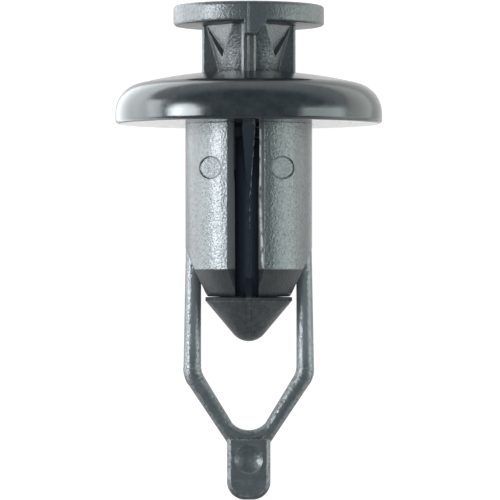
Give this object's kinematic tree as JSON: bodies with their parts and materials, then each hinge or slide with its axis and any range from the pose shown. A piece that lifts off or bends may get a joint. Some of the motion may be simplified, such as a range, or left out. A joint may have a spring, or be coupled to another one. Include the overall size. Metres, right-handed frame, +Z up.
{
  "type": "push-in clip",
  "caption": "Push-in panel clip: a domed split grommet with a tail loop and pull tab, spread by a ribbed push pin with an arrowhead.",
  "frame": {"origin": "on the surface it lies on, below the middle of its bounding box", "axes": "+Z up, +Y towards the head along the surface it lies on, +X across the loop's plane; the clip's own axis lies in the YZ plane, tilted up 18.2324 degrees towards the head"},
  "size_m": [0.02, 0.037, 0.0193],
  "materials": {
    "grommet": "black nylon, glossy on the dome, spark-eroded on the barrel",
    "push_pin": "black nylon, spark-eroded"
  },
  "bodies": {
    "grommet": {"grommet": "grommet"},
    "push_pin": {"push_pin": "push_pin"}
  },
  "joints": [
    {"name": "pin_push", "type": "slide", "parent": "grommet", "child": "push_pin", "axis": [0, 0.9498, 0.3129], "range_m": [-0.0026, 0]}
  ]
}
